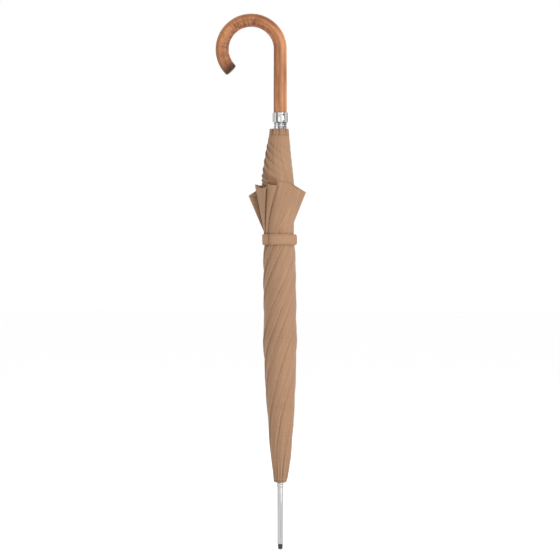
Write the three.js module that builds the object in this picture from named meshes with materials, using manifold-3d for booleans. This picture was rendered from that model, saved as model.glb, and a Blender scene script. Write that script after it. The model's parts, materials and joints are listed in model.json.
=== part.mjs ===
// Stick umbrella, closed and wrapped: hooked wooden handle at the top, ferrule tip at the bottom.
// Millimetres, +Z up. Heights below are measured from the bottom of the ferrule tip;
// the finished group is lowered so that the origin sits in the middle of the handle's grip.
import * as THREE from 'three';
import { mergeVertices } from 'three/addons/utils/BufferGeometryUtils.js';
import Module from 'manifold-3d';

const wasm = await Module();
wasm.setup();

// overall heights
const GRIP_Z = 780;
const TIP_TOP = 8.5;
const FERRULE_TOP = 102.5;
const FLANGE_TOP = 111;
const SHAFT_BOTTOM = 103;
const SHAFT_TOP = 760;
const CLOTH_BOTTOM = 119.5;
const CLOTH_TOP = 699.5;

// shaft and the clearance left between touching pieces
const SHAFT_R = 4.5;
const SHAFT_BORE_R = 3.8;
const GAP = 0.3;

// ribs and stretchers: the three pivots of each pair stand on one vertical line when shut
const RIB_COUNT = 8;
const RIB_STEP = (2 * Math.PI) / RIB_COUNT;
const PIVOT_R = 8.2;
const PIVOT_Z = 118;
const STRETCHER = 265;
const JOINT_Z = PIVOT_Z + STRETCHER;
const RUNNER_Z = PIVOT_Z + 2 * STRETCHER;
const RIB_TOP = 696;
const RIB_IN = 6.7;
const RIB_OUT = 10.2;
const RIB_HALF = 1.4;
const SHEET = 0.5;
const HOLE_R = 0.8;
const WIRE_R = 0.5;
const BLADE_HALF = 0.6;
const BLADE_DEPTH = 0.9;
const TIP_RING_R = 9.2;

// runner, crown notch and catches
const FIN_R = 9.4;
const RUNNER_TUBE_R = 5.8;
const RUNNER_TOP = 700;
const CATCH_TURN = RIB_STEP / 2;
const CATCH_HALF = 0.8;
const STOP_Z = 326;

// handle
const WOOD_R = 11;
const WOOD_BOTTOM = 715.5;
const BEND_Z = 833;
const BEND_R = 48.4;
const BEND_ANGLE = THREE.MathUtils.degToRad(224);
const COLLAR_R = 13.5;

// closure strap
const STRAP_Z0 = 507;
const STRAP_Z1 = 524.5;
const STRAP_R = 27.2;
const STRAP_T = 1.4;
const STRAP_START = THREE.MathUtils.degToRad(200);
const STRAP_LAP = THREE.MathUtils.degToRad(40);
const PAD_T = 0.8;

// outside radius of the wrapped cloth at a few heights
const CLOTH = [
  [119.5, 12], [137, 15], [172, 18.3], [217, 20.9], [272, 24.8], [340, 27.4], [420, 27.2],
  [500, 26.5], [560, 27.3], [576, 28], [592, 28.5], [606, 28.5], [622, 28], [645, 24.5],
  [668, 20.8], [699.5, 16.6],
];
const CLOTH_T = 4.2;
const WING_Z = 592;
const WING_SPAN = 34;
const WING_OUT = 9;

const MATERIALS = {
  wood: { color: 0xb8825f, roughness: 0.45, metalness: 0 },
  chrome: { color: 0xd8d8d6, roughness: 0.12, metalness: 1 },
  steel: { color: 0xb4b4b2, roughness: 0.35, metalness: 1 },
  fabric: { color: 0xb68e71, roughness: 0.9, metalness: 0 },
  plastic: { color: 0x1c1b1b, roughness: 0.5, metalness: 0 },
};

const umbrella = new THREE.Group();
umbrella.name = 'stick_umbrella';

function signedVolume(geometry) {
  const p = geometry.attributes.position;
  const t = geometry.index.array;
  const [a, b, c] = [new THREE.Vector3(), new THREE.Vector3(), new THREE.Vector3()];
  let sum = 0;
  for (let i = 0; i < t.length; i += 3) {
    a.fromBufferAttribute(p, t[i]);
    b.fromBufferAttribute(p, t[i + 1]);
    c.fromBufferAttribute(p, t[i + 2]);
    sum += a.dot(b.cross(c));
  }
  return sum;
}

// a closed geometry as a boolean solid, facing outwards
function toSolid(geometry) {
  const bare = geometry.clone();
  bare.deleteAttribute('normal');
  bare.deleteAttribute('uv');
  const merged = mergeVertices(bare, 1e-4);
  const flip = signedVolume(merged) < 0;
  const source = merged.index.array;
  const faces = [];
  for (let i = 0; i < source.length; i += 3) {
    const [a, b, c] = [source[i], source[i + 1], source[i + 2]];
    if (a !== b && b !== c && c !== a) faces.push(...(flip ? [a, c, b] : [a, b, c]));
  }
  return new wasm.Manifold(new wasm.Mesh({
    numProp: 3,
    vertProperties: Float32Array.from(merged.attributes.position.array),
    triVerts: Uint32Array.from(faces),
  }));
}

function toGeometry(solid) {
  const mesh = solid.getMesh();
  const geometry = new THREE.BufferGeometry();
  geometry.setAttribute('position', new THREE.BufferAttribute(Float32Array.from(mesh.vertProperties), 3));
  geometry.setIndex(Array.from(mesh.triVerts));
  geometry.computeVertexNormals();
  return geometry;
}

function add(name, slot, solid, turn = 0) {
  const mesh = new THREE.Mesh(toGeometry(solid), new THREE.MeshStandardMaterial(MATERIALS[slot]));
  mesh.name = name;
  mesh.rotation.z = turn;
  umbrella.add(mesh);
}

function block(x0, x1, y0, y1, z0, z1) {
  const box = new THREE.BoxGeometry(x1 - x0, y1 - y0, z1 - z0);
  box.translate((x0 + x1) / 2, (y0 + y1) / 2, (z0 + z1) / 2);
  return toSolid(box);
}

// solid of revolution about Z from [radius, height] points
function turned(profile, segments) {
  const points = profile.map(([r, z]) => new THREE.Vector2(r, z));
  const lathe = new THREE.LatheGeometry(points, segments);
  lathe.rotateX(Math.PI / 2);
  return toSolid(lathe);
}

function ringOf(inner, outer, z0, z1, segments) {
  return turned([[inner, z0], [outer, z0], [outer, z1], [inner, z1], [inner, z0]], segments);
}

// round bar along Y through (x, z)
function crossBar(radius, length, x, z, segments = 12) {
  const bar = new THREE.CylinderGeometry(radius, radius, length, segments);
  bar.translate(x, 0, z);
  return toSolid(bar);
}

// round bar along X through the shaft's axis at height z
function axleBar(radius, length, z, segments = 12) {
  const bar = new THREE.CylinderGeometry(radius, radius, length, segments);
  bar.rotateZ(Math.PI / 2);
  bar.translate(0, 0, z);
  return toSolid(bar);
}

function wireRing(radius, wire, z, segments) {
  const torus = new THREE.TorusGeometry(radius, wire, segments, 32);
  torus.translate(0, 0, z);
  return toSolid(torus);
}

// flat profile of [radius, height] points, given a thickness across the radial plane
function plate(profile, half) {
  const shape = new THREE.Shape(profile.map(([x, y]) => new THREE.Vector2(x, y)));
  const slab = new THREE.ExtrudeGeometry(shape, { depth: 2 * half, bevelEnabled: false });
  slab.translate(0, 0, -half);
  slab.rotateX(Math.PI / 2);
  return toSolid(slab);
}

function around(solid, turn) {
  return solid.rotate([0, 0, THREE.MathUtils.radToDeg(turn)]);
}

// skin through equal rings of points, with a strip across each end
function lofted(rings) {
  const size = rings[0].length;
  const faces = [];
  for (let i = 0; i + 1 < rings.length; i += 1) {
    for (let k = 0; k < size; k += 1) {
      const a = i * size + k;
      const b = i * size + ((k + 1) % size);
      faces.push(a, b, b + size, a, b + size, a + size);
    }
  }
  for (const [base, back] of [[0, true], [(rings.length - 1) * size, false]]) {
    for (let k = 0; k < size / 2 - 1; k += 1) {
      const [a, b] = [base + k, base + k + 1];
      const [c, d] = [base + size - 2 - k, base + size - 1 - k];
      faces.push(...(back ? [a, d, b, b, d, c] : [a, b, d, b, c, d]));
    }
  }
  const geometry = new THREE.BufferGeometry();
  const flat = rings.flat().flatMap((p) => [p.x, p.y, p.z]);
  geometry.setAttribute('position', new THREE.Float32BufferAttribute(flat, 3));
  geometry.setIndex(faces);
  return toSolid(geometry);
}

function polar(radius, angle, z) {
  return new THREE.Vector3(radius * Math.cos(angle), radius * Math.sin(angle), z);
}

// ---- shaft, pins and catches ----
const lowerSlot = around(block(3, 6, -1.1, 1.1, 652, 688), CATCH_TURN);
const upperSlot = around(block(3, 6, -1.1, 1.1, 382, 428), CATCH_TURN);
const shaft = ringOf(SHAFT_BORE_R, SHAFT_R, SHAFT_BOTTOM, SHAFT_TOP, 32)
  .subtract(lowerSlot)
  .subtract(upperSlot)
  .subtract(around(axleBar(1 + GAP, 20, STOP_Z), CATCH_TURN))
  .subtract(axleBar(1 + GAP, 20, 745));
add('shaft_tube', 'steel', shaft);
add('stop_pin', 'steel', axleBar(1, 12, STOP_Z), CATCH_TURN);
add('handle_pin', 'steel', axleBar(1, 18, 745));

const LOWER_CATCH = [[3.9, 655], [4.5, 655], [4.5, 675], [6.7, 683.5], [5.9, 683.5], [3.9, 676.5]];
const UPPER_CATCH = [[3.9, 424], [3.9, 393.5], [5.6, 386.4], [6.4, 386.4], [4.5, 395], [4.5, 424]];
add('catch_lower', 'steel', plate(LOWER_CATCH, CATCH_HALF), CATCH_TURN);
add('catch_upper', 'steel', plate(UPPER_CATCH, CATCH_HALF), CATCH_TURN);

// ---- crown notch and runner, each with the wire its blades hinge on ----
let notch = ringOf(SHAFT_R + GAP, FIN_R, PIVOT_Z - 3, PIVOT_Z + 3, 40);
let runner = ringOf(SHAFT_R + GAP, FIN_R, RUNNER_Z - 3.5, RUNNER_Z + 3.5, 40)
  .add(ringOf(SHAFT_R + GAP, RUNNER_TUBE_R, RUNNER_Z, RUNNER_TOP, 40))
  .add(ringOf(SHAFT_R + GAP, 6.3, RUNNER_TOP - 6, RUNNER_TOP, 40));
for (let i = 0; i < RIB_COUNT; i += 1) {
  const wide = RIB_HALF + 0.4;
  const narrow = BLADE_HALF + GAP;
  notch = notch.subtract(around(block(6.2, 12, -wide, wide, 110, 126), i * RIB_STEP));
  runner = runner.subtract(around(block(6.6, 12, -narrow, narrow, 640, 656), i * RIB_STEP));
}
notch = notch.subtract(wireRing(PIVOT_R, HOLE_R, PIVOT_Z, 8));
runner = runner.subtract(wireRing(PIVOT_R, HOLE_R, RUNNER_Z, 8));
runner = runner.subtract(around(block(4, 8, -1.2, 1.2, 674, 684), CATCH_TURN));
add('crown_notch', 'steel', notch);
add('crown_wire', 'steel', wireRing(PIVOT_R, WIRE_R, PIVOT_Z, 6));
add('runner', 'plastic', runner);
add('runner_wire', 'steel', wireRing(PIVOT_R, WIRE_R, RUNNER_Z, 6));

// ---- ribs: channels open towards the shaft, solid at the crown, cut away round the runner ----
const rib = block(RIB_IN, RIB_OUT, -RIB_HALF, RIB_HALF, PIVOT_Z, RIB_TOP)
  .subtract(block(5, RIB_OUT - SHEET, SHEET - RIB_HALF, RIB_HALF - SHEET, PIVOT_Z + 12, RIB_TOP + 1))
  .subtract(block(5, RIB_OUT - SHEET, -2, 2, RUNNER_Z - 8, RUNNER_Z + 8))
  .add(crossBar(1.5, 2 * RIB_HALF, PIVOT_R, PIVOT_Z, 16))
  .subtract(crossBar(HOLE_R, 6, PIVOT_R, PIVOT_Z))
  .subtract(crossBar(HOLE_R, 6, PIVOT_R, JOINT_Z));

const BLADE_IN = PIVOT_R - BLADE_DEPTH;
const BLADE_OUT = PIVOT_R + BLADE_DEPTH;
const stretcher = block(BLADE_IN, BLADE_OUT, -BLADE_HALF, BLADE_HALF, JOINT_Z, RUNNER_Z)
  .add(crossBar(1.2, 2 * BLADE_HALF, PIVOT_R, JOINT_Z))
  .add(crossBar(1.2, 2 * BLADE_HALF, PIVOT_R, RUNNER_Z))
  .subtract(crossBar(HOLE_R, 6, PIVOT_R, JOINT_Z))
  .subtract(crossBar(HOLE_R, 6, PIVOT_R, RUNNER_Z));

const rivetProfile = [
  [0, -2.2], [1.1, -2.2], [1.1, -1.7], [0.5, -1.7], [0.5, 1.7], [1.1, 1.7], [1.1, 2.2], [0, 2.2],
];
const rivet = turned(rivetProfile, 10).rotate([90, 0, 0]).translate([PIVOT_R, 0, JOINT_Z]);

const tipProfile = [
  [0, 0], [1.7, 0], [1.7, 7.5], [1.1, 9], [1.1, 10.5], [1.6, 11.6], [1.2, 14], [0, 14],
];
const ribTip = turned(tipProfile, 10).translate([TIP_RING_R, 0, RIB_TOP + GAP]);

for (let i = 0; i < RIB_COUNT; i += 1) {
  add(`rib_${i + 1}`, 'steel', rib, i * RIB_STEP);
  add(`stretcher_${i + 1}`, 'steel', stretcher, i * RIB_STEP);
  add(`rivet_${i + 1}`, 'steel', rivet, i * RIB_STEP);
  add(`rib_tip_${i + 1}`, 'chrome', ribTip, i * RIB_STEP);
}

// ---- canopy: one wrapped gore between each rib and the next, its hem corner standing out ----
function clothRadius(z) {
  const i = Math.max(1, CLOTH.findIndex(([height]) => height >= z));
  const [[z0, r0], [z1, r1]] = [CLOTH[i - 1], CLOTH[i]];
  return THREE.MathUtils.lerp(r0, r1, (z - z0) / (z1 - z0));
}

function goreRing(z) {
  const columns = 4;
  const outer = clothRadius(z);
  const inner = Math.max(10.9, outer - CLOTH_T);
  const inset = 0.18 / inner;
  const wing = WING_OUT * Math.max(0, 1 - Math.abs(z - WING_Z) / WING_SPAN);
  const front = [];
  const back = [];
  for (let k = 0; k <= columns; k += 1) {
    const u = k / columns;
    const angle = THREE.MathUtils.lerp(inset, RIB_STEP - inset, u);
    front.push(polar(outer + wing * u ** 3, angle, z));
    back.unshift(polar(inner, angle, z));
  }
  return [...front, ...back];
}

const gore = lofted(CLOTH.map(([z]) => goreRing(z)));
for (let i = 0; i < RIB_COUNT; i += 1) {
  add(`canopy_gore_${i + 1}`, 'fabric', gore, i * RIB_STEP);
}

const rosette = [
  [4.8, 111.3], [7.5, 111.3], [11, 115.9], [10.2, 115.9], [9.8, 114.6], [4.8, 114.6], [4.8, 111.3],
];
add('crown_rosette', 'fabric', turned(rosette, 32));

// ---- closure strap: one turn round the cloth, its free end lapped over a fastener pad ----
function strapRing(angle, lift) {
  const r = STRAP_R + lift;
  const turn = STRAP_START + angle;
  return [
    polar(r, turn, STRAP_Z0), polar(r + STRAP_T, turn, STRAP_Z0),
    polar(r + STRAP_T, turn, STRAP_Z1), polar(r, turn, STRAP_Z1),
  ];
}

const LAP_LIFT = STRAP_T + PAD_T + 2 * GAP;
const strapRings = [];
for (let k = 0; k <= 40; k += 1) {
  const angle = (k / 40) * (2 * Math.PI + STRAP_LAP);
  const rise = THREE.MathUtils.clamp((angle - 2 * Math.PI + 0.5) / 0.5, 0, 1);
  strapRings.push(strapRing(angle, LAP_LIFT * rise));
}
add('closure_strap', 'fabric', lofted(strapRings));

const padRings = [];
for (let k = 0; k <= 3; k += 1) {
  const turn = STRAP_START + STRAP_LAP * (0.2 + 0.6 * (k / 3));
  const r = STRAP_R + STRAP_T + GAP;
  padRings.push([
    polar(r, turn, STRAP_Z0 + 2), polar(r + PAD_T, turn, STRAP_Z0 + 2),
    polar(r + PAD_T, turn, STRAP_Z1 - 2), polar(r, turn, STRAP_Z1 - 2),
  ]);
}
add('strap_pad', 'plastic', lofted(padRings));

// ---- ferrule ----
add('ferrule_flange', 'steel', ringOf(SHAFT_R + GAP, 5.3, SHAFT_BOTTOM, FLANGE_TOP, 32));
add('ferrule_tube', 'steel', ringOf(SHAFT_BORE_R, 4.75, TIP_TOP + GAP, FERRULE_TOP, 32));
add('ferrule_spigot', 'steel', turned([[0, 70], [3.5, 70], [3.5, 140], [0, 140]], 24));
const tipCap = [
  [0, 0], [3.25, 0], [3.6, 0.6], [3.9, 3], [4.1, TIP_TOP], [3.5, TIP_TOP], [3.5, 20], [0, 20],
];
add('ferrule_tip', 'plastic', turned(tipCap, 32));

// ---- handle: straight grip, then a hook opening towards -X, rounded off at its end ----
class CrookLine extends THREE.Curve {
  getPoint(t) {
    const straight = BEND_Z - WOOD_BOTTOM;
    const along = t * (straight + BEND_R * BEND_ANGLE);
    if (along < straight) return new THREE.Vector3(0, 0, WOOD_BOTTOM + along);
    const angle = (along - straight) / BEND_R;
    return new THREE.Vector3(BEND_R * (Math.cos(angle) - 1), 0, BEND_Z + BEND_R * Math.sin(angle));
  }
}

const crookLine = new CrookLine();
const woodSection = new THREE.Shape().absarc(0, 0, WOOD_R, 0, 2 * Math.PI);
const woodRod = new THREE.ExtrudeGeometry(woodSection, {
  steps: 42,
  curveSegments: 11,
  extrudePath: crookLine,
});
const hookEnd = crookLine.getPoint(1);
const hookButton = turned([[0, -2], [10.4, -2], [10.4, 1.4], [8.6, 2.8], [0, 2.8]], 22)
  .rotate([0, -THREE.MathUtils.radToDeg(BEND_ANGLE), 0])
  .translate([hookEnd.x, hookEnd.y, hookEnd.z]);
const shaftSocket = turned([
  [0, 700], [SHAFT_R + GAP, 700], [SHAFT_R + GAP, SHAFT_TOP + 1], [0, SHAFT_TOP + 1],
], 24);
const crook = toSolid(woodRod)
  .add(hookButton)
  .subtract(shaftSocket)
  .subtract(axleBar(1 + GAP, 18.8, 745));
add('crook_handle', 'wood', crook);

const collar = [
  [11.3, 727], [13.1, 727], [COLLAR_R, 726.5], [COLLAR_R, 711.4], [13.1, 711], [12.4, 711],
  [12.4, 714], [5, 714], [5, 715.2], [11.3, 715.2], [11.3, 727],
];
add('handle_collar', 'chrome', turned(collar, 40));

umbrella.position.z = -GRIP_Z;

export default umbrella;
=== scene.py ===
import json
import math

import bpy
import numpy as np
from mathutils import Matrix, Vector


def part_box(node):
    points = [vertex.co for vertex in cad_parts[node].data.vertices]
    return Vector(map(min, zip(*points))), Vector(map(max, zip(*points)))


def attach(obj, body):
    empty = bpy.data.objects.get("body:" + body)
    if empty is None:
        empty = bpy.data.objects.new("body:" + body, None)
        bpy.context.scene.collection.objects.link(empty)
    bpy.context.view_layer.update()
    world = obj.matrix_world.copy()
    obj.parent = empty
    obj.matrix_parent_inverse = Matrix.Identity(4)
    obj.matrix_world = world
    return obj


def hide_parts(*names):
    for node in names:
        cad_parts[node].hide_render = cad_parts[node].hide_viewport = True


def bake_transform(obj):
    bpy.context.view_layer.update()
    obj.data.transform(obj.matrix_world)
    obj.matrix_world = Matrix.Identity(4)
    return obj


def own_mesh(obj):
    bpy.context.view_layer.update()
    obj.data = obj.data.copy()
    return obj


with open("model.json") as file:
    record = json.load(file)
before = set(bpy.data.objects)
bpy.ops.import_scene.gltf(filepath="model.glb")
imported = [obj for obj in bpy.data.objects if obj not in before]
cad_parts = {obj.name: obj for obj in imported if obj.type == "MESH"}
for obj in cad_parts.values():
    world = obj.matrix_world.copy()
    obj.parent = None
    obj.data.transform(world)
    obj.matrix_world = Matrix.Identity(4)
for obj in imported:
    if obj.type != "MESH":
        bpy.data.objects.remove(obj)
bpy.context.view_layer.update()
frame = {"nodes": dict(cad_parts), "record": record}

# Heights in this file are millimetres above the bottom of the ferrule tip.
MM = 0.001
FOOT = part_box("ferrule_tip")[0].z
GORES = 8
SECTOR = 360 / GORES
# radius and height of the ribs' pivots at the crown, and how far the ribs open, as in the CAD model
PIVOT_R, PIVOT_Z, OPEN_DEG = 8.2, 118.0, 66.0


def up(z):
    """Row-frame height in metres of a height in millimetres above the tip's end."""
    return FOOT + z * MM


# ---------------------------------------------------------------- mesh helpers
def mesh_piece(name, points, faces, uv=None, tone=None, sharp_angle=None):
    """A smooth mesh from points in metres; uv is one pair per point, tone one number per point."""
    mesh = bpy.data.meshes.new(name)
    mesh.from_pydata([tuple(p) for p in points], [], [tuple(f) for f in faces])
    mesh.update()
    if uv is not None:
        corners = np.zeros(len(mesh.loops), int)
        mesh.loops.foreach_get("vertex_index", corners)
        layer = mesh.uv_layers.new(name="cloth")
        layer.data.foreach_set("uv", np.asarray(uv, float)[corners].ravel())
    if tone is not None:
        attribute = mesh.attributes.new("tone", "FLOAT", "POINT")
        attribute.data.foreach_set("value", np.asarray(tone, np.float32))
    mesh.shade_smooth()
    if sharp_angle is not None:
        mesh.set_sharp_from_angle(angle=math.radians(sharp_angle))
    piece = bpy.data.objects.new(name, mesh)
    bpy.context.scene.collection.objects.link(piece)
    return piece


def grid_faces(rows, columns, around=False):
    """Quads of a grid of points stored row by row; around joins the last column to the first."""
    row = np.arange(rows - 1)[:, None] * columns
    column = np.arange(columns if around else columns - 1)[None, :]
    follow = (column + 1) % columns
    quads = np.stack([row + column, row + follow, row + columns + follow, row + columns + column], -1)
    return quads.reshape(-1, 4).tolist()


def ring_faces(rings, segments, closed):
    """Faces of a stack of rings: closed joins the last ring to the first, or else both ends are capped."""
    faces = grid_faces(rings, segments, around=True)
    last = (rings - 1) * segments
    if closed:
        faces += [[last + k, last + (k + 1) % segments, (k + 1) % segments, k] for k in range(segments)]
    else:
        faces.append(list(range(segments))[::-1])
        faces.append([last + k for k in range(segments)])
    return faces


UV_RADIUS = 5  # every turned piece is unrolled at this radius


def lathe_piece(name, profile, segments, centre=(0, 0), sharp_angle=40, closed=False):
    """A turned piece about the vertical through centre, from [radius, height] points in millimetres."""
    turn = np.arange(segments) * 2 * np.pi / segments
    profile = np.asarray(profile, float)
    r, z = profile[:, 0][:, None], profile[:, 1][:, None]
    x = centre[0] + r * np.cos(turn)
    y = centre[1] + r * np.sin(turn)
    points = np.stack([x * MM, y * MM, up(z + 0 * x)], -1).reshape(-1, 3)
    faces = ring_faces(len(profile), segments, closed)
    length = np.concatenate([[0], np.cumsum(np.hypot(*np.diff(profile, axis=0).T))])
    uv = np.stack([(turn[None, :] * UV_RADIUS + 0 * r) * MM, length[:, None] * MM + 0 * x], -1).reshape(-1, 2)
    return mesh_piece(name, points, faces, uv=uv, sharp_angle=sharp_angle)


# ---------------------------------------------------------------- materials
class Shader:
    """A small helper round one material's node tree."""

    def __init__(self, name, colour, roughness, metallic=0.0):
        self.material = bpy.data.materials.new(name)
        self.material.use_nodes = True
        self.tree = self.material.node_tree
        self.surface = self.tree.nodes["Principled BSDF"]
        self.surface.inputs["Base Color"].default_value = (*colour, 1)
        self.surface.inputs["Roughness"].default_value = roughness
        self.surface.inputs["Metallic"].default_value = metallic

    def node(self, kind, inputs=None, **settings):
        made = self.tree.nodes.new(kind)
        for key, value in settings.items():
            setattr(made, key, value)
        for key, value in (inputs or {}).items():
            if isinstance(value, bpy.types.NodeSocket):
                self.tree.links.new(value, made.inputs[key])
            else:
                made.inputs[key].default_value = value
        return made

    def coordinates(self, source, scale):
        place = self.node("ShaderNodeTexCoord")
        return self.node(
            "ShaderNodeMapping", {"Vector": place.outputs[source], "Scale": scale}
        ).outputs["Vector"]

    def noise(self, source, scale, detail=3, roughness=0.55):
        """Noise in the named coordinates; scale is the number of its cells in a metre along each axis."""
        vector = self.coordinates(source, scale)
        return self.node(
            "ShaderNodeTexNoise",
            {"Vector": vector, "Scale": 1.0, "Detail": detail, "Roughness": roughness},
        ).outputs["Fac"]

    def combine(self, operation, a, b):
        return self.node("ShaderNodeMath", {0: a, 1: b}, operation=operation).outputs[0]

    def span(self, value, low, high, to_low=0.0, to_high=1.0):
        """The value with the range low to high stretched to to_low to to_high, and held there beyond it."""
        return self.node(
            "ShaderNodeMapRange",
            {"Value": value, "From Min": low, "From Max": high, "To Min": to_low, "To Max": to_high},
        ).outputs["Result"]

    def mix(self, factor, a, b, blend="MIX"):
        made = self.node("ShaderNodeMix", data_type="RGBA", blend_type=blend)
        for socket, value in zip((made.inputs[0], made.inputs[6], made.inputs[7]), (factor, a, b)):
            if isinstance(value, bpy.types.NodeSocket):
                self.tree.links.new(value, socket)
            else:
                socket.default_value = value if isinstance(value, float) else (*value, 1)
        return made.outputs[2]

    def attribute(self, name):
        return self.node("ShaderNodeAttribute", attribute_name=name).outputs["Fac"]

    def grey(self, value):
        return self.node("ShaderNodeCombineColor", {0: value, 1: value, 2: value}).outputs[0]

    def bump(self, height, strength, distance):
        made = self.node("ShaderNodeBump", {"Height": height, "Strength": strength, "Distance": distance})
        self.tree.links.new(made.outputs["Normal"], self.surface.inputs["Normal"])

    def drive(self, name, socket):
        self.tree.links.new(socket, self.surface.inputs[name])


def cloth_material(name, colour):
    """Plain-weave cloth: crossed threads about a millimetre apart, slubs, soft colour drift, and the painted
    shade and light that the tone attribute carries.
    """
    look = Shader(name, colour, 0.85)
    weave = look.coordinates("UV", (1, 1, 1))
    warp, weft = [
        look.node(
            "ShaderNodeTexWave",
            {"Vector": weave, "Scale": 320.0, "Distortion": 0.6, "Detail": 1.0},
            bands_direction=direction,
        ).outputs["Fac"]
        for direction in "XY"
    ]
    threads = look.combine("MULTIPLY", warp, weft)
    slub = look.noise("UV", (900, 60, 1))
    drift = look.noise("UV", (14, 9, 1), detail=4)
    fine = look.noise("UV", (420, 420, 1), detail=2)
    value = look.span(drift, 0.3, 0.7, 0.93, 1.06)
    value = look.combine("MULTIPLY", value, look.span(slub, 0.3, 0.7, 0.965, 1.03))
    value = look.combine("MULTIPLY", value, look.span(fine, 0.3, 0.7, 0.97, 1.03))
    value = look.combine("MULTIPLY", value, look.span(threads, 0.0, 1.0, 0.96, 1.03))
    # the tone attribute: mostly painted shade in creases, hollows and pockets, and painted light on crests
    # and fold edges
    value = look.combine("MULTIPLY", value, look.attribute("tone"))
    # where drift or the tone's painted shade darkens the cloth, its colour deepens too
    shade = tuple(c * k for c, k in zip(colour, (0.86, 0.74, 0.62)))
    dark = look.mix(look.span(value, 0.55, 1.0), shade, colour)
    look.drive("Base Color", look.mix(1.0, dark, look.grey(value), "MULTIPLY"))
    look.drive("Roughness", look.span(drift, 0.3, 0.7, 0.66, 0.78))
    look.surface.inputs["Sheen Weight"].default_value = 0.1
    look.surface.inputs["Sheen Roughness"].default_value = 0.5
    look.surface.inputs["Specular IOR Level"].default_value = 0.3
    look.bump(threads, 0.25, 0.0003)
    return look.material


def wood_material():
    """Varnished bent wood: long streaks, and reddish mottling across the grain round the bend."""
    light, mid, dark = (0.53, 0.243, 0.11), (0.37, 0.152, 0.064), (0.13, 0.042, 0.018)
    look = Shader("wood_finish", mid, 0.4)
    streak = look.noise("UV", (260, 7, 1), detail=5, roughness=0.6)
    broad = look.noise("UV", (70, 10, 1), detail=3)
    cross = look.noise("UV", (50, 520, 1), detail=4, roughness=0.7)
    blotch = look.noise("UV", (70, 60, 1), detail=4)
    pore = look.noise("UV", (1500, 90, 1), detail=2)
    bend = look.attribute("bend")
    colour = look.mix(look.span(streak, 0.4, 0.6), mid, light)
    colour = look.mix(look.span(broad, 0.4, 0.68, 0.0, 0.8), colour, dark)
    mottle = look.combine("MULTIPLY", look.span(cross, 0.36, 0.56), look.span(blotch, 0.3, 0.5))
    colour = look.mix(look.combine("MULTIPLY", mottle, bend), colour, (0.13, 0.036, 0.018))
    colour = look.mix(look.span(pore, 0.62, 0.8, 0.0, 0.45), colour, dark)
    # the tone attribute brings the rod's dark rings and dark hook end, and painted shade along its inner side
    tone = look.attribute("tone")
    look.drive("Base Color", look.mix(1.0, colour, look.grey(tone), "MULTIPLY"))
    look.drive("Roughness", look.span(streak, 0.3, 0.7, 0.3, 0.46))
    look.surface.inputs["Coat Weight"].default_value = 0.06
    look.surface.inputs["Coat Roughness"].default_value = 0.25
    look.surface.inputs["Specular IOR Level"].default_value = 0.16
    look.bump(pore, 0.12, 0.0004)
    return look.material


def metal_material(name, colour, roughness, brush=0.0, band=150.0, depth=0.8):
    """Polished or brushed metal, clouded by handling, and darkened in upright stripes of painted reflection:
    band sets their size, depth the share of the colour left where they are darkest.
    """
    look = Shader(name, colour, roughness, 1.0)
    along = look.noise("Object", (900, 900, 25), detail=3)
    cloud = look.noise("Object", (60, 60, 60), detail=3)
    brushed = look.span(along, 0.3, 0.7, -brush, brush)
    change = look.combine("ADD", brushed, look.span(cloud, 0.3, 0.7, -0.02, 0.03))
    look.drive("Roughness", look.combine("ADD", change, roughness))
    # painted reflection: upright dark stripes fixed on the metal stand in for the dark surroundings that it
    # mirrors
    reflection_streaks = look.noise("Object", (band, band, 3), detail=1)
    reflection_dark = tuple(c * depth for c in colour)
    shade = look.mix(look.span(reflection_streaks, 0.5, 0.62), colour, reflection_dark)
    clouded = tuple(c * 0.75 for c in colour)
    look.drive("Base Color", look.mix(look.span(cloud, 0.35, 0.7, 0.0, 0.3), shade, clouded))
    look.bump(along, 0.03 + brush * 0.4, 0.0002)
    return look.material


def plastic_material(name, colour, roughness):
    """Moulded plastic with a fine grain and paler scuffs."""
    look = Shader(name, colour, roughness)
    grain = look.noise("Object", (2500, 2500, 2500), detail=2)
    scuff = look.noise("Object", (350, 350, 120), detail=4)
    pale = tuple(c * 2.2 + 0.01 for c in colour)
    look.drive("Base Color", look.mix(look.span(scuff, 0.6, 0.8), colour, pale))
    look.drive("Roughness", look.span(scuff, 0.3, 0.75, roughness - 0.08, roughness + 0.12))
    look.bump(grain, 0.1, 0.0002)
    return look.material


cloth = cloth_material("canopy_cloth", (0.295, 0.168, 0.096))
strap_cloth = cloth_material("strap_cloth", (0.318, 0.181, 0.103))
wood = wood_material()
chrome = metal_material("chrome_with_painted_reflections", (0.62, 0.62, 0.61), 0.1, band=210.0, depth=0.16)
steel = metal_material("steel_with_painted_reflections", (0.52, 0.52, 0.52), 0.3, 0.08, depth=0.65)
tip_metal = metal_material("rib_tip_metal_with_painted_reflections", (0.5, 0.5, 0.5), 0.2, band=330.0, depth=0.12)
# a darker copy of the tip metal, for painted shade on some of the rib tips
shaded_tip_metal = metal_material("rib_tip_metal_painted_shade_and_reflections", (0.3, 0.3, 0.31), 0.34, 0.06)
black = plastic_material("black_plastic_finish", (0.018, 0.017, 0.017), 0.42)
MATERIALS = {"wood": wood, "chrome": chrome, "steel": steel, "cloth": cloth, "black_plastic": black}

slots = {p["node"]: p["material_slot"] for p in frame["record"]["subparts"]}


def dress(piece, material):
    """Gives a piece its material."""
    piece.data.materials.clear()
    piece.data.materials.append(material)


# carried-over CAD nodes keep their shape and take the finish of their slot
for node_name, node in frame["nodes"].items():
    for index in range(max(1, len(node.material_slots))):
        if not node.material_slots:
            node.data.materials.append(None)
        node.material_slots[index].material = MATERIALS[slots[node_name]]

# ---------------------------------------------------------------- handle
GRIP_START, BEND_START, BEND_R, WOOD_R = 715.5, 833.0, 48.4, 11.0
BEND_DEG = 224
ROD_RINGS, ROD_SIDES = 190, 56
END_ROUND, END_STEPS = 3.4, 8  # the rounding of the hook's end, and its rings
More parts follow.
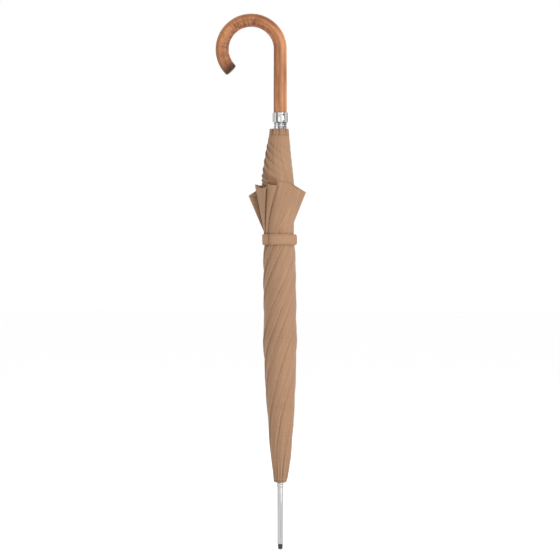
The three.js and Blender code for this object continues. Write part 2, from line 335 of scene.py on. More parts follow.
# places of the dark rings on the bend, in millimetres past its start
RING_MARKS = (62, 68, 128)


def rod_stations(length):
    """Distance along the rod and radius of each of its rings."""
    stations = [(d, WOOD_R) for d in np.linspace(0, length, ROD_RINGS)]
    for k in range(1, END_STEPS + 1):
        angle = k / END_STEPS * math.pi / 2
        stations.append((length + END_ROUND * math.sin(angle), WOOD_R - END_ROUND * (1 - math.cos(angle))))
    return stations + [(length + 3.7, 5.0), (length + 3.8, 0.6)]


def rod_tone(d, r, straight, end, turn):
    """Tone round one ring: dark rings, a dark hook end with a lighter face, and painted shade along the inner
    side, which faces away from the key light.
    """
    shade = 1.0 - 0.16 * sum(math.exp(-(((d - straight - mark) / 0.9) ** 2)) for mark in RING_MARKS)
    shade *= 1 - 0.8 * math.exp(-((max(end + 1.5 - d, 0) / 10.5) ** 2))
    if r < 7.5:
        shade *= 1.7
    # painted shade on the inner side, away from the key light, strongest along the straight part
    edge = np.clip((-np.cos(turn + 0.12 * math.sin(d / 31)) - 0.62) / 0.3, 0, 1)
    return shade * (1 - 0.42 * edge * min(max((straight + 40 - d) / 40, 0.25), 1))


def handle_piece():
    """The bent rod: rings along its centre line, closed by a rounded end."""
    straight = BEND_START - GRIP_START
    arc = BEND_R * math.radians(BEND_DEG)
    end = straight + arc
    stations = rod_stations(end)
    turn = np.arange(ROD_SIDES) * 2 * np.pi / ROD_SIDES
    points, uv, tone, bend = [], [], [], []
    for d, r in stations:
        over = min(max(d - straight, 0), arc)
        angle = over / BEND_R
        past = max(d - end, 0)
        centre = np.array([BEND_R * (math.cos(angle) - 1), 0, BEND_START + BEND_R * math.sin(angle)])
        centre += past * np.array([-math.sin(angle), 0, math.cos(angle)])
        if d < straight:
            centre = np.array([0, 0, GRIP_START + d])
        out = np.array([math.cos(angle), 0, math.sin(angle)])
        # bent wood is never quite round or even
        wobble = 1 + 0.008 * np.sin(2 * turn + d / 37) + 0.006 * math.sin(d / 23)
        ring = centre + (r * wobble * np.cos(turn))[:, None] * out
        ring[:, 1] += r * wobble * np.sin(turn)
        points.append(ring)
        uv.append(np.stack([turn * WOOD_R * MM, np.full(ROD_SIDES, d * MM)], -1))
        tone.append(rod_tone(d, r, straight, end, turn))
        # the mottling is strongest on the inner side of the bend and fades towards the hook's end
        inner = np.clip(0.72 - 0.42 * np.cos(turn), 0.25, 1)
        fade = 1 - 0.45 * min(max((over - 150) / 40, 0), 1)
        bend.append(inner * (min(max((over - 18) / 45, 0.12), 1) * fade))
    points = np.concatenate(points)
    points = np.stack([points[:, 0] * MM, points[:, 1] * MM, up(points[:, 2])], -1)
    faces = ring_faces(len(stations), ROD_SIDES, closed=False)
    piece = mesh_piece("crook_wood", points, faces, uv=np.concatenate(uv), tone=np.concatenate(tone))
    attribute = piece.data.attributes.new("bend", "FLOAT", "POINT")
    attribute.data.foreach_set("value", np.concatenate(bend).astype(np.float32))
    return piece


handle = handle_piece()
dress(handle, wood)
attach(handle, "stick")
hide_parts("crook_handle")

collar = lathe_piece("collar_shell", [
    (11.25, 726.6), (11.6, 727.0), (12.9, 727.0), (13.3, 726.8), (13.5, 726.4), (13.5, 725.4),
    (13.25, 725.0), (13.25, 724.6), (13.5, 724.2), (13.5, 712.4), (13.3, 711.6), (13.0, 711.1),
    (12.6, 711.0), (12.4, 711.3), (12.4, 714.0), (5.2, 714.0), (5.2, 715.2), (11.25, 715.2),
], 72, closed=True)
dress(collar, chrome)
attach(collar, "stick")
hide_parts("handle_collar")

# ---------------------------------------------------------------- ferrule
tube = lathe_piece("ferrule_shell", [
    (3.8, 8.8), (4.45, 8.8), (4.7, 9.1), (4.75, 9.6), (4.75, 101.8), (4.6, 102.4), (3.8, 102.5),
], 48, closed=True)
flange = lathe_piece("flange_ring", [
    (4.8, 103.0), (5.2, 102.9), (5.35, 103.3), (5.35, 106.0), (5.15, 106.5), (5.35, 107.0),
    (5.35, 110.3), (5.1, 110.9), (4.8, 111.0),
], 48, closed=True)
tip = lathe_piece("tip_cap", [
    (0.4, 0.0), (2.9, 0.0), (3.2, 0.15), (3.5, 0.7), (3.75, 2.2), (3.95, 4.5), (4.1, 7.4),
    (4.0, 8.2), (3.6, 8.5), (3.5, 20.0), (0.4, 20.0),
], 48)
for piece, material, slot, node_name in (
    (tube, steel, "steel", "ferrule_tube"),
    (flange, steel, "steel", "ferrule_flange"),
    (tip, black, "black_plastic", "ferrule_tip"),
):
    dress(piece, material)
    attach(piece, "stick")
    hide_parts(node_name)

# ---------------------------------------------------------------- rib tips
RIB_TIP_R = 9.2
for i in range(GORES):
    a = math.radians(i * SECTOR)
    centre = (RIB_TIP_R * math.cos(a), RIB_TIP_R * math.sin(a))
    rib_tip = lathe_piece(f"tip_bead_{i + 1}", [
        (0.3, 696.3), (1.55, 696.3), (1.7, 696.7), (1.7, 703.4), (1.45, 704.0), (1.05, 704.9),
        (1.0, 706.4), (1.35, 707.2), (1.6, 708.0), (1.55, 709.2), (1.15, 710.1), (0.3, 710.4),
    ], 18, centre)
    # every third tip takes the darker copy of the tip metal: painted shade under the collar
    dress(rib_tip, shaded_tip_metal if i % 3 == 0 else tip_metal)
    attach(rib_tip, f"rib_{i + 1}")
    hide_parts(f"rib_tip_{i + 1}")

# ---------------------------------------------------------------- wrapped cloth, as one outer shape
# The outside of the furled cloth, as a grid of rows up the umbrella by columns round it. Below the
# strap the folds wind round as low ridges. Above it they stand clear as flaps with pointed corners,
# and above their hems the hems of the inner layers show as an overlapping spiral.
COLUMNS = 240
# mean radius of the wrapped cloth, by height
OUTSIDE = np.array([
    (111, 9.5), (117, 11.8), (127, 13.4), (137, 15.0), (152, 16.7), (172, 18.6), (192, 20.2),
    (217, 21.4), (242, 23.3), (272, 25.0), (322, 27.0), (347, 28.1), (382, 27.4), (415, 27.4),
    (455, 26.9), (495, 26.6), (506, 25.3), (526, 26.2), (540, 26.8), (560, 27.3), (600, 28.1),
    (608, 28.3), (620, 27.5), (647, 24.0), (661, 22.1), (674, 20.5), (697, 17.6), (701, 17.3),
])
# the gathered end at the crown: most and least radius of the skin, and radius of the gores' seams, by height
CROWN_MOST = ([113.9, 115.6, 118, 122], [10.15, 10.95, 12, 400])
CROWN_LEAST = ([113.9, 115.6, 118, 122], [10.05, 10.8, 11.8, 0])
CROWN_SEAM = ([113.9, 115.6, 118, 121], [9.95, 10.65, 11.6, 11.1])
# how far the middle of the bundle lies towards +X, by height
LEAN = np.array([
    (118, 0.4), (150, 1.1), (330, -0.2), (490, -1.2), (510, -1.4), (555, -2.6), (606, -3.4),
    (620, -4.1), (647, -3.6), (680, -2.4), (701, -1.8),
])
# the ridges below the strap: degrees wound round by height, and each ridge's turn and depth
TWIST = np.array([(118, 0), (140, 4), (220, 42), (330, 120), (400, 181), (505, 290)])
RIDGES = [(55, 1.5), (93, 1.2), (122, 1.4), (171, 1.3), (227, 1.5), (277, 1.6), (315, 1.6), (353, 1.1)]
# the strap holds the cloth in between these two heights; HEM_ROW is the row that follows the flaps' hems
STRAP_LOW, STRAP_HIGH, STRAP_Z = 507.0, 524.5, 515.7
HEM_ROW = 606.0
# One flap for each gore, in order round the umbrella. column: grid column of its fold edge. low, high:
# turn of that edge at the strap and at the hem. step: how far the edge stands off the layer below.
# corner: height of its pointed corner. reach: how far the corner stands out. foot: height where it
# starts to stand out. rise: how far above HEM_ROW the next layer's hem starts. under: degrees by which
# the next layer starts behind the edge. shade: painted shadow beside the last flap's edge. open: how
# open the hem stands, and how much painted shade lies in the pocket above it. Some have their own hem
# line (heights across the flap), bell (how far the wing stands out across the flap), belly (roundness),
# lit (painted light) or fades (height above which it lies flat).
FLAPS = [
    dict(
        column=34, low=40, high=60, step=1.4, corner=600, reach=7, foot=545, rise=8, under=14, shade=0.3,
        open=0.6,
    ),
    dict(
        column=62, low=78, high=104, step=1.3, corner=598, reach=9, foot=545, rise=8, under=16, shade=0.26,
        open=0.7,
    ),
    dict(
        column=86, low=120, high=137, step=1.2, corner=597, reach=8, foot=548, rise=8, under=14, shade=0.28,
        open=0.7,
    ),
    dict(
        column=114, low=176, high=171, step=1.5, corner=589, reach=23, foot=530, rise=16,
        under=22, shade=0.28, open=0.8,
    ),
    dict(
        column=146, low=202, high=229, step=1.6, corner=602, reach=0, foot=526, rise=2, under=8, shade=0.3,
        open=1.0, lit=0.1,
        bell=[(0, 0), (0.12, 6.2), (0.3, 12.6), (0.42, 12.0), (0.6, 8.6), (0.8, 6.2), (1, 4.6)],
        hem=[(0, 604), (0.3, 608.3), (0.5, 602.8), (0.8, 601), (1, 602)],
    ),
    dict(
        column=166, low=217, high=268, step=1.7, corner=605.5, reach=3.0, foot=526, rise=2, under=7,
        shade=0.2, open=1.0, lit=0.1, belly=0.8, hem=[(0, 609.5), (0.3, 607.2), (0.6, 605.6), (1, 605.2)],
    ),
    dict(
        column=194, low=262, high=318, step=1.9, corner=611, reach=0.0, foot=540, rise=1, under=3, shade=0.2,
        open=0.08, fades=592, hem=[(0, 608), (0.15, 611), (0.4, 610.5), (1, 608.5)],
    ),
    dict(
        column=234, low=347, high=357, step=0.6, corner=594.5, reach=19.8, foot=544, rise=2, under=26,
        shade=0.08, open=0.3, belly=0.5, hem=[(0, 608.5), (0.25, 606.5), (1, 594.5)],
    ),
]
# heights of one hem of the spiral by its turn in degrees; the other seven follow 45 degrees apart
HEM_LINE = np.array([
    (-130, 716), (-40, 695.5), (5, 684), (50, 672.5), (95, 660.6), (140, 647.5), (185, 633),
    (222, 623.7), (258, 616.7), (277, 613.7), (322, 608.6), (367, 602), (412, 594), (520, 570),
])


def smooth(t):
    """A soft step from 0 to 1 as t goes from 0 to 1."""
    t = np.clip(t, 0, 1)
    return t * t * (3 - 2 * t)


def peak(distance, width):
    """A bell curve: 1 where distance is 0, and almost 0 past two widths."""
    return np.exp(-((distance / width) ** 2))


def centred(turn, period=360):
    """The turn less whole periods, so that it lies within half a period of 0."""
    return np.mod(turn + period / 2, period) - period / 2


def blurred(ring, reach):
    """Running mean of one value per column, over reach columns to either side, round the umbrella."""
    width = 2 * reach + 1
    return np.convolve(np.concatenate([ring[-reach:], ring, ring[:reach]]), np.ones(width) / width, "valid")


def outside_radius(z):
    """Mean radius of the wrapped cloth."""
    return np.interp(z, OUTSIDE[:, 0], OUTSIDE[:, 1])


def cloth_shift(z):
    """Sideways lean of the wrapped bundle, in millimetres."""
    return np.interp(z, LEAN[:, 0], LEAN[:, 1])


def wound(z):
    """Degrees that the ridges have wound round the bundle by a height."""
    return np.interp(z, TWIST[:, 0], TWIST[:, 1])


def tight_ridges(turn, z):
    """Depth and tone of the low ridges that wind round below the strap; the tone is a painted shadow just
    past each ridge's edge and a painted highlight just before the next.
    """
    edges = np.array([low for low, _ in RIDGES])[:, None, None] + wound(z)
    ahead = np.mod(edges - turn, 360)
    nearest = np.argmin(ahead, axis=0)
    ahead = np.take_along_axis(ahead, nearest[None], 0)[0]
    past = np.min(np.mod(turn - edges, 360), axis=0)
    across = past / np.maximum(past + ahead, 1e-6)
    fade = np.interp(z, [118, 160, 220], [0.35, 0.7, 1.0])
    depth = np.array([step for _, step in RIDGES])[nearest] * fade * across ** 1.4
    degree = outside_radius(z) * np.pi / 180
    # painted shadow just past each ridge's edge, and a painted highlight just before the next
    tone = 1 - 0.36 * np.exp(-past * degree / 1.3) * np.interp(z, [118, 200], [0.6, 1.0])
    return depth, tone + 0.16 * np.exp(-ahead * degree / 1.1)


def flap_columns(k):
    """Columns of flap k's layer, from just behind the last flap's edge to its own, and their shares."""
    first = FLAPS[k - 1]["column"] + 1 - (COLUMNS if k == 0 else 0)
    own = np.arange(first, FLAPS[k]["column"] + 1)
    return own, (own - first) / (own[-1] - first)


def flap_hems():
    """Height of the hem, and how open it stands, at every column."""
    hem = np.zeros(COLUMNS)
    open_by = np.zeros(COLUMNS)
    for k, flap in enumerate(FLAPS):
        own, across = flap_columns(k)
        behind = HEM_ROW + FLAPS[k - 1]["rise"]
        hem[own] = behind + (flap["corner"] - behind) * across ** 1.6
        open_by[own] = flap["open"]
        if "hem" in flap:
            hem[own] = np.interp(across, *zip(*flap["hem"]))
    return hem, open_by


def flaps(z):
    """Turn, extra radius and tone of the flaps above the strap, at the heights z of every column; the tone is
    painted shadow beside the last flap's edge and painted light along each flap's own edge.
    """
    turn = np.zeros(z.shape)
    depth = np.zeros(z.shape)
    tone = np.ones(z.shape)
    for k, flap in enumerate(FLAPS):
        last = FLAPS[k - 1]
        own, across = flap_columns(k)
        high = z[:, own]
        rise = np.clip((high - STRAP_HIGH) / (HEM_ROW - STRAP_HIGH), -0.3, 1.15)
        grown = np.clip((high - last["foot"]) / (last["corner"] - last["foot"]), 0.08, 1)
        begin = last["low"] + (last["high"] - last["low"]) * rise - last["under"] * grown
        begin = begin - (360 if k == 0 else 0)
        finish = flap["low"] + (flap["high"] - flap["low"]) * rise
        turn[:, own] = begin + (finish - begin) * across
        out = np.clip((high - flap["foot"]) / (flap["corner"] - flap["foot"]), 0, 1.0)
        body = flap["step"] * across ** 1.3 + flap.get("belly", 0) * np.sin(np.pi * across)
        wing = flap["reach"] * out * across ** 2.3
        if "bell" in flap:
            body = body * (1 - out)
            wing = np.interp(across, *zip(*flap["bell"])) * out
        if "fades" in flap:
            body = body * np.clip((flap["fades"] - high) / 30, 0, 1)
        depth[:, own] = body + wing - 1.1
        near = across * (len(own) - 1)
        left = (1 - across) * (len(own) - 1)
        # painted shadow beside the last flap's edge; painted light along this flap's own edge and, where lit
        # is given, over the whole flap
        tone[:, own] -= flap["shade"] * np.exp(-near / 2.4)
        tone[:, own] += 0.08 * np.exp(-left / 1.5) + flap.get("lit", 0)
    return turn, depth, tone


def bent_rows(level, hem, above):
    """Heights of the grid: one row follows the hems of the flaps, and the rows near it bend to suit."""
    below = smooth((level - 556) / (HEM_ROW - 556)) * (hem - HEM_ROW)
    beyond = (1 - smooth((level - HEM_ROW) / 46)) * (blurred(hem, 9) - HEM_ROW)
    z = level + np.where(above, beyond, below)
    return np.where(above, np.maximum(z, hem + 0.3 + 0.2 * (level - HEM_ROW)), z)


def hem_spiral(turn, z, hem, open_by):
    """Depth and tone of the cone above the flaps, where the hems of the inner layers overlap. The tone is
    painted shadow above each hem, a painted highlight on its fold, the stitches, and painted shade in the
    pockets above the flaps' hems.
    """
    spot = np.mod(turn, 360)
    start = np.interp(z, HEM_LINE[::-1, 1], HEM_LINE[::-1, 0])
    rank = (spot - start) / 45
    part = rank - np.floor(rank)
    strength = 0.1 + 0.95 * (0.5 - 0.5 * np.cos(np.radians(spot - 318))) ** 1.1
    strength = strength * np.clip((686 - z) / 20, 0, 1)
    band = 12.5  # from one hem to the next, in millimetres
    gap = part * band
    depth = -1.7 + 3.3 * (part - 0.5) * strength
    # painted shadow just above each hem, and a painted highlight on the hem's fold
    tone = 1 - 0.62 * strength * np.exp(-gap / 1.3) - 0.12 * strength * np.exp(-gap / 6)
    tone += 0.1 * strength * (part > 0.86)
    tone -= 0.09 * strength * peak((1 - part) * band - 3.2, 0.6)  # the stitches beside the hem
    # at the front left, below the outermost hem, the inner side of the cloth shows, sunk and darkened by
    # painted shade with faint painted shading lines
    shaded_inner_side = (rank < 0) & (spot > 200) & (spot < 264) & ((rank > -1) | (spot > 229))
    tone = np.where(shaded_inner_side, 0.76 + 0.05 * np.sin(np.radians(spot) * 60 - z * 0.5), tone)
    depth = np.where(shaded_inner_side, -2.6, depth)
    over = z - hem
    # painted shade in the pocket above an open hem
    tone -= open_by * 0.22 * np.exp(-over / 2.5)
    depth -= open_by * 1.2 * np.exp(-over / 3.0)
    return depth, tone


def creased(depth, tone, even, turn, z):
    """The same depth and tone with creases along the wrap and gathers at strap, crown and rib tips. The tone
    takes painted light on their crests, painted shade in their hollows and painted shadow along the strap's
    edges.
    """
    flow = np.radians(even - wound(z))
    crease = 0.2 * np.sin(11 * flow + z / 31) * np.sin(z / 47 + 1) + 0.14 * np.sin(19 * flow - z / 23)
    crease += 0.1 * np.sin(31 * flow + z / 17) * np.sin(z / 29)
    around = np.radians(even)
    crease += 0.25 * peak(z - STRAP_Z, 15) * np.sin(26 * around + 2 * np.sin(3 * around))
    bottom = peak(z - PIVOT_Z, 24)
    crease += 0.6 * bottom * np.sin(16 * around)
    # one long soft crease on the front panel above the strap
    ridge_off = centred(turn - (275 + 1.56 * (z - 540))) * 0.48
    crease += 0.9 * peak(ridge_off, 2.2) * smooth((z - 530) / 8) * smooth((578 - z) / 14)
    # at the rib tips the cloth is tucked in at every rib and puckered between
    top = np.clip((z - 684) / 14, 0, 1)
    tuck = peak(centred(even, SECTOR), 4.5)
    pucker = np.sin(24 * around + 0.8) + 0.5 * np.sin(41 * around + z / 3)
    crease += top * (0.5 * pucker - 1.5 * tuck)
    # painted light on the crests and painted shade in the hollows and the crown's grooves, painted shade in
    # the tucks and puckers at the rib tips, a dark line round at 689.5 mm, and painted shadow along both
    # edges of the strap
    tone = tone + 0.14 * crease * (1 - top) - 0.1 * bottom * (np.sin(16 * around) < -0.3)
    tone = tone - top * (0.34 * tuck + 0.14 * (pucker < -0.3)) - 0.16 * peak(z - 689.5, 1.1)
    tone -= 0.2 * np.exp(-np.abs(z - STRAP_LOW) / 1.6) + 0.16 * np.exp(-np.abs(z - STRAP_HIGH) / 1.6)
    return depth + crease, tone


def furled_cloth(rows):
    """Points (x, y, z in mm) and tone of the outside, one row per height and one column per 1.5 degrees."""
    level = np.repeat(rows[:, None], COLUMNS, 1)
    even = np.repeat((360 / COLUMNS * np.arange(COLUMNS))[None, :], len(rows), 0)
    above = level > HEM_ROW + 0.01
    hem, open_by = flap_hems()
    z = bent_rows(level, hem, above)
    # above the strap the flaps come loose, and above their hems the cloth closes up again
    loose = smooth((level - STRAP_LOW - 3) / (STRAP_HIGH - STRAP_LOW - 6))
    closing = 1 - smooth((level - HEM_ROW - 6) / 60)
    flap_turn, flap_depth, flap_tone = flaps(z)
    swing = centred(flap_turn - even) * loose
    soft_swing = np.stack([blurred(row, 12) for row in swing])
    turn = even + np.where(level > HEM_ROW + 2, soft_swing * closing, swing)
    ridge_depth, ridge_tone = tight_ridges(even, np.minimum(z, 515))
    # the panel at the front right is almost plain below the strap
    plain = 0.7 * smooth((even - 272) / 18) * smooth((352 - even) / 20) * smooth((z - 370) / 60)
    ridge_depth = ridge_depth + plain * (0.7 - ridge_depth)
    ridge_tone = ridge_tone + plain * (1 - ridge_tone)
    cone_depth, cone_tone = hem_spiral(turn, z, hem, open_by)
    depth = np.where(above, cone_depth, -1.0 + ridge_depth + (flap_depth - ridge_depth) * loose)
    tone = np.where(above, cone_tone, ridge_tone + (flap_tone - ridge_tone) * loose)
    depth, tone = creased(depth, tone, even, turn, z)
    # pockets: the first row above the hem goes down behind it, and painted shade darkens it and the row above
    # it
    step_row = int(np.searchsorted(rows, HEM_ROW + 0.01))
    z[step_row] = z[step_row - 1] - 0.3 - 3.2 * open_by
    depth[step_row] = np.minimum(depth[step_row - 1] - 0.5 - open_by, -0.8 - 1.6 * open_by)
    tone[step_row:step_row + 2] = np.minimum(tone[step_row:step_row + 2], 0.95 - 0.3 * open_by)
    radius = outside_radius(z) + depth
    radius = np.clip(radius, np.interp(z, *CROWN_LEAST), np.interp(z, *CROWN_MOST))
    x = radius * np.cos(np.radians(turn)) + cloth_shift(z)
    y = radius * np.sin(np.radians(turn))
    return np.stack([x, y, z], -1), tone


# ---------------------------------------------------------------- one cloth gore between two ribs
RIB_OUT, HEM_Z, STACK = 10.6, 700.0, 24
SKIN_COLUMNS = COLUMNS // GORES
FIRST_SKIN = STACK + 3
GORE_COLUMNS = 2 * FIRST_SKIN + SKIN_COLUMNS + 1
# heights of the rows, closer together where the cloth has detail, with one row at HEM_ROW
COARSE, FINE = 2.3, 1.35
heights = np.concatenate([
    [113.9], np.arange(115.6, 524, COARSE), np.arange(525, HEM_ROW - 0.5, FINE), [HEM_ROW],
    np.arange(HEM_ROW + FINE, HEM_Z, FINE), [HEM_Z],
])
skin, skin_tone = furled_cloth(heights)
wrap = np.arange(COLUMNS + 1) % COLUMNS
skin, skin_tone = skin[:, wrap], skin_tone[:, wrap]


def flat_width(length):
    """Width of a flat gore at a distance from the ribs' pivots: the gap between two open ribs."""
    return 6.3 + 0.699 * length


def seam_radius(z):
    """Radius of the sheet's two edges: just clear of the ribs, and right under the skin at the crown."""
    return np.interp(z, *CROWN_SEAM)


def crown_room(z):
    """Share of the usual room for hidden folds: almost none where the sheet is gathered at the crown."""
    return np.interp(z, [118, 123], [0.08, 1.0])


def fold_stack(z, r_out, near, flip):
    """Points of one hidden accordion of folds: x and y arrays, rows by STACK + 1."""
    count = np.arange(STACK + 1)[None, :]
    inner = seam_radius(z) + 0.8 * crown_room(z)
    radius = inner[:, None] + (r_out - inner)[:, None] * (count + 0.5) / (STACK + 1)
    width = np.maximum(flat_width(z - PIVOT_Z) - np.radians(SECTOR) * r_out, 1.0) / (2 * STACK)
    limit = 0.86 * np.radians(SECTOR / 2) * (inner + r_out) / 2
    half = np.minimum(width, limit)[:, None] / 2
    side = np.where(count % 2 == 0, -1, 1) * flip
    turn = np.radians(near + flip * SECTOR / 4) + side * half / radius
    share = (radius - inner[:, None]) / np.maximum(r_out - inner, 1)[:, None]
    return radius * np.cos(turn) + share * cloth_shift(z)[:, None], radius * np.sin(turn)


def gore_piece(index):
    """A single sheet, from its rib through hidden folds, its share of the outer skin and hidden folds
    to the next rib, and the blend weight of each of its points."""
    start = index * SECTOR
    z = heights
    seam = seam_radius(z)
    r_out = np.maximum(outside_radius(z) - 4.7, seam + crown_room(z))
    left_x, left_y = fold_stack(z, r_out, start, 1)
    right_x, right_y = fold_stack(z, r_out, start + SECTOR, -1)
    own = slice(index * SKIN_COLUMNS, (index + 1) * SKIN_COLUMNS + 1)
    ones = np.ones((len(z), 1))
    a, b = math.radians(start), math.radians(start + SECTOR)
    outer = skin[:, own]
    # the sheet turns straight inwards at both edges of the skin before it folds
    axis = np.stack([cloth_shift(outer[:, :, 2]), 0 * outer[:, :, 1], outer[:, :, 2]], -1)
    inwards = 2.6 * crown_room(z)[:, None, None]
    turned = outer + (axis - outer) * (inwards / np.linalg.norm(outer - axis, axis=-1, keepdims=True))
    x = np.hstack([
        seam[:, None] * math.cos(a), left_x, turned[:, :1, 0], outer[:, :, 0], turned[:, -1:, 0],
        right_x[:, ::-1], seam[:, None] * math.cos(b),
    ])
    y = np.hstack([
        seam[:, None] * math.sin(a), left_y, turned[:, :1, 1], outer[:, :, 1], turned[:, -1:, 1],
        right_y[:, ::-1], seam[:, None] * math.sin(b),
    ])
    hidden = 0.97  # tone of the folds
    folds = hidden * np.ones_like(left_x)
    tone = np.hstack([ones, folds, hidden * ones, skin_tone[:, own], hidden * ones, folds, ones])
    rows = len(z)
    height = np.repeat(z[:, None], GORE_COLUMNS, 1)
    shown = slice(FIRST_SKIN - 1, FIRST_SKIN + SKIN_COLUMNS + 2)
    height[:, shown] = np.hstack([outer[:, :1, 2], outer[:, :, 2], outer[:, -1:, 2]])
    points = np.stack([x * MM, y * MM, up(height)], -1).reshape(-1, 3)
    # share of the way across the flat gore, and the flat cloth as uv
    share = np.concatenate([
        np.linspace(0, 0.465, STACK + 2), [0.47], np.linspace(0.475, 0.525, SKIN_COLUMNS + 1), [0.53],
        np.linspace(0.535, 1, STACK + 2),
    ])
    share = np.repeat(share[None, :], rows, 0)
    length = np.repeat(z[:, None], GORE_COLUMNS, 1) - PIVOT_Z
    uv = np.stack([(share - 0.5) * flat_width(length), length], -1).reshape(-1, 2) * MM
    faces = grid_faces(rows, GORE_COLUMNS)
    piece = mesh_piece(f"gore_cloth_{index + 1}", points, faces, uv=uv, tone=tone.ravel())
    # weights for spreading the sheet evenly from one rib to the next when the umbrella is open; nothing in
    # this script applies them
    goal = np.radians(start) + share * np.radians(SECTOR)
    drift = np.hypot(x, y) * np.sin(np.arctan2(y, x) - goal)
    reach = PIVOT_R + length * math.sin(math.radians(OPEN_DEG))
    weight = np.clip(share - drift / np.maximum(reach, 12) / np.radians(SECTOR), 0, 1)
    weight[:, 0], weight[:, -1] = 0, 1
    return piece, weight.ravel().astype(np.float32)


def sharpen_folds(piece, index):
    """Keeps the skin's two edges, the fold edges of the flaps and their hems crisp."""
    mesh = piece.data
    ends = np.zeros(len(mesh.edges) * 2, int)
    mesh.edges.foreach_get("vertices", ends)
    ends = ends.reshape(-1, 2)
    row, column = ends // GORE_COLUMNS, ends % GORE_COLUMNS
    upright = column[:, 0] == column[:, 1]
    level = row[:, 0] == row[:, 1]
    place = column[:, 0] - FIRST_SKIN
    edge = upright & ((place == 0) | (place == SKIN_COLUMNS))
    loose = (heights[row[:, 0]] > STRAP_HIGH) & (heights[row[:, 0]] < HEM_ROW + 1)
    for flap in FLAPS:
        for fold in (flap["column"], flap["column"] + 1):
            edge |= upright & loose & (place == fold - index * SKIN_COLUMNS)
    hem_row = int(np.searchsorted(heights, HEM_ROW - 0.01))
    edge |= level & ((row[:, 0] == hem_row) | (row[:, 0] == hem_row + 1))
    mark = mesh.attributes.new("sharp_edge", "BOOLEAN", "EDGE")
    mark.data.foreach_set("value", edge)


for i in range(GORES):
    gore, weights = gore_piece(i)
    sharpen_folds(gore, i)
    dress(gore, cloth)
    a, b = math.radians(i * SECTOR), math.radians((i + 1) * SECTOR)
    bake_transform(gore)
    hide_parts(f"canopy_gore_{i + 1}")

# ---------------------------------------------------------------- crown rosette
ROSETTE_BORE = 5.4
# radius and height round the rosette's section: its pleated outside first, then back along the inside
ROSETTE = [
    (ROSETTE_BORE, 111.15), (6.6, 111.0), (7.8, 111.2), (8.9, 111.7), (9.8, 112.5), (10.5, 113.5),
    (10.85, 114.5), (10.6, 114.8), (10.2, 114.2), (9.4, 113.3), (8.2, 112.6), (ROSETTE_BORE, 112.4),
]
PLEATED = 7  # how many of those points are pleated
PLEAT = 0.34


def rosette_piece():
    """The gathered cloth under the crown: a thin bell with fine pleats, with painted light and shade on them.
    """
    segments = 192
    turn = np.arange(segments) * 2 * np.pi / segments
    points, tone, uv = [], [], []
    for k, (r, z) in enumerate(ROSETTE):
        pleat = PLEAT * min(1, (r - ROSETTE_BORE) / 4) * (np.sin(24 * turn) + 0.35 * np.sin(53 * turn + 1))
        rr = r + pleat * (k < PLEATED)
        points.append(np.stack([rr * np.cos(turn) * MM, rr * np.sin(turn) * MM, up(z + 0 * turn)], -1))
        # painted light on the pleats' crests and painted shade in their troughs
        tone.append(0.9 + 0.14 * pleat / PLEAT)
        uv.append(np.stack([turn * 10 * MM, np.full(segments, k * 2 * MM)], -1))
    points, uv, tone = np.concatenate(points), np.concatenate(uv), np.concatenate(tone)
    faces = ring_faces(len(ROSETTE), segments, closed=True)
    return mesh_piece("rosette_cloth", points, faces, uv=uv, tone=tone)


rosette = rosette_piece()
dress(rosette, cloth)
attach(rosette, "stick")
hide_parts("crown_rosette")

# ---------------------------------------------------------------- closure strap
# the strap's start and lap are in degrees; near the turn STRAP_PINCH the band is drawn in and stands proud
STRAP_H, STRAP_R, STRAP_LAP_R, STRAP_THICK = 17.5, 25.6, 30, 1.15
STRAP_START, STRAP_LAP, STRAP_PINCH = 190.0, 40.0, 352
# radius of each of the pad's two faces, its length in degrees and height, and its grid of points
PAD_RADII, PAD_TURN, PAD_H = (27.4, 27.1), 28, 12
PAD_COLUMNS, PAD_ROWS = 13, 5


def two_layer_faces(columns, width):
    """Faces of a band: a front and a back layer of columns by width points, joined round their rim."""
    count = columns * width
    faces = grid_faces(columns, width)
    faces += [[corner + count for corner in face[::-1]] for face in faces]
    rim = [k * width for k in range(columns)]
    rim += [(columns - 1) * width + j for j in range(1, width)]
    rim += [k * width + width - 1 for k in range(columns - 2, -1, -1)]
    rim += list(range(width - 2, 0, -1))
    faces += [[a, b, b + count, a + count][::-1] for a, b in zip(rim, rim[1:] + rim[:1])]
    return faces


def wrapped_point(radius, angle, z):
    """A point in metres at a radius from the middle of the leaning bundle."""
    return (radius * math.cos(angle) + cloth_shift(z)) * MM, radius * math.sin(angle) * MM, up(z)


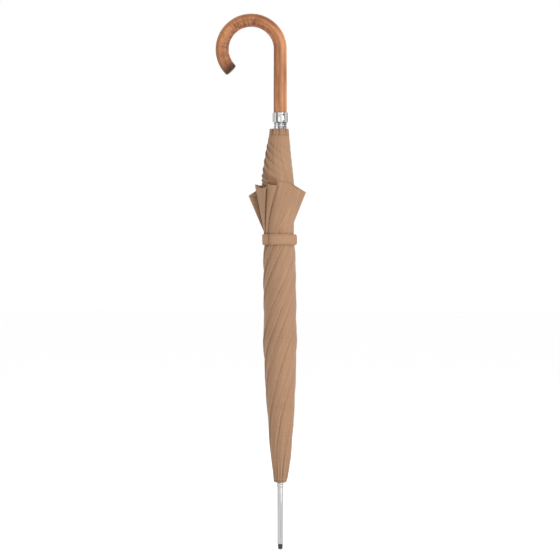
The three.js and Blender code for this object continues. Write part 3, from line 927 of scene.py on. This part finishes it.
def strap_piece():
    """A hemmed band once round the cloth, its rounded free end lapped over its start."""
    columns, rows = 260, 15
    total = 360 + STRAP_LAP
    front, back, tone, uv = [], [], [], []
    for k in range(columns + 1):
        along = total * k / columns
        turn = STRAP_START + along
        angle = math.radians(turn)
        # the lap rises onto the strap's start, and left is what remains up to its rounded corners
        lift = 1.9 * min(max((along - 331) / 29, 0), 1)
        left = (total - along) * math.radians(1) * STRAP_LAP_R
        corner = max(0.0, 1 - left / 3.5)
        narrow = 1 - 0.36 * (1 - math.sqrt(max(0.0, 1 - corner * corner)))
        narrow -= 0.13 * math.exp(-(((turn - STRAP_PINCH) / 6) ** 4))
        for j in range(rows + 1):
            v = 2 * j / rows - 1
            z = STRAP_Z + v * STRAP_H / 2 * narrow
            hold = STRAP_R + lift + 0.12 * math.sin(angle * 5) + 0.2 * math.cos(angle * 2)
            crown = 0.25 * (1 - v * v)
            proud = 2.6 * math.exp(-(((turn - STRAP_PINCH) / 8) ** 2)) * (1 - 0.25 * abs(v) ** 6)
            front.append(wrapped_point(hold + crown + proud + STRAP_THICK, angle, z))
            back.append(wrapped_point(hold + crown * 0.3, angle, z))
            # a dark line along each hem, painted shade along the band's top and bottom rims, a slightly
            # lighter lap, and painted shade at the band's start and along the rim of its free end
            hem = min(abs(abs(v) - 0.74) * STRAP_H / 2, 9)
            shade = 1.0 - 0.12 * math.exp(-((hem / 0.45) ** 2)) - 0.1 * max(0, abs(v) - 0.9) / 0.1
            if along > 350:
                shade *= 1.07
            if 0 <= along < 3 or left < 1.2:
                shade *= 0.8
            tone.append(shade)
            uv.append((turn * 0.5 * MM, (z - STRAP_Z) * MM))
    faces = two_layer_faces(columns + 1, rows + 1)
    return mesh_piece("strap_band", front + back, faces, uv=uv + uv, tone=tone + tone, sharp_angle=50)


def pad_piece():
    """The fastener pad, between the strap's start and its lap."""
    points = []
    for radius in PAD_RADII:
        for k in range(PAD_COLUMNS):
            for j in range(PAD_ROWS):
                angle = math.radians(STRAP_START + 6 + PAD_TURN * k / (PAD_COLUMNS - 1))
                z = STRAP_Z - PAD_H / 2 + PAD_H * j / (PAD_ROWS - 1)
                points.append(wrapped_point(radius, angle, z))
    return mesh_piece("strap_hook_tape", points, two_layer_faces(PAD_COLUMNS, PAD_ROWS), sharp_angle=50)


strap = strap_piece()
dress(strap, strap_cloth)
strap_pad = pad_piece()
dress(strap_pad, black)

for piece, node_name in ((strap, "closure_strap"), (strap_pad, "strap_pad")):
    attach(piece, "rib_1")
    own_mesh(piece)
    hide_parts(node_name)

# ---------------------------------------------------------------- stage, light and camera
FLOOR_HALF = 30  # metres
floor_z = up(0) - 0.002
floor_corners = [(x * FLOOR_HALF, y * FLOOR_HALF, floor_z) for x, y in ((-1, -1), (1, -1), (1, 1), (-1, 1))]
floor = mesh_piece("studio_floor", floor_corners, [(0, 1, 2, 3)])
stage_paint = Shader("studio_paint", (0.86, 0.86, 0.86), 0.9)
stage_paint.surface.inputs["Emission Color"].default_value = (1, 1, 1, 1)
stage_paint.surface.inputs["Emission Strength"].default_value = 0.12
floor.data.materials.append(stage_paint.material)

world = bpy.data.worlds.new("studio")
bpy.context.scene.world = world
world.use_nodes = True
background = world.node_tree.nodes["Background"]
background.inputs["Color"].default_value = (1, 1, 1, 1)
background.inputs["Strength"].default_value = 1.0


def area_light(name, place, target, size, watts):
    """A square lamp at a place in metres, turned towards the target."""
    data = bpy.data.lights.new(name, "AREA")
    data.energy = watts
    data.size = size
    lamp = bpy.data.objects.new(name, data)
    lamp.location = place
    lamp.rotation_mode = "QUATERNION"
    lamp.rotation_quaternion = (Vector(target) - Vector(place)).to_track_quat("-Z", "Y")
    bpy.context.scene.collection.objects.link(lamp)


middle = Vector((0, 0, up(447)))
area_light("key_right", (2.0, -2.3, up(1250)), middle, 1.4, 56)
area_light("fill_front", (-0.9, -3.0, up(800)), middle, 1.6, 5)
area_light("fill_back", (1.2, 3.0, up(1100)), middle, 1.6, 16)

view_settings = bpy.context.scene.view_settings
view_settings.view_transform = "Standard"
view_settings.look = "None"

# distance in metres, and the width that the square picture takes in at the umbrella
DISTANCE, VIEW_WIDTH, SENSOR = 4.0, 933.352 * MM, 36
camera_data = bpy.data.cameras.new("camera")
camera_data.sensor_width = SENSOR
camera_data.lens = SENSOR * DISTANCE / VIEW_WIDTH
camera = bpy.data.objects.new("camera", camera_data)
camera.location = (-0.0005, -DISTANCE, up(448.4))
camera.rotation_euler = (math.pi / 2, 0, 0)
bpy.context.scene.collection.objects.link(camera)
bpy.context.scene.camera = camera
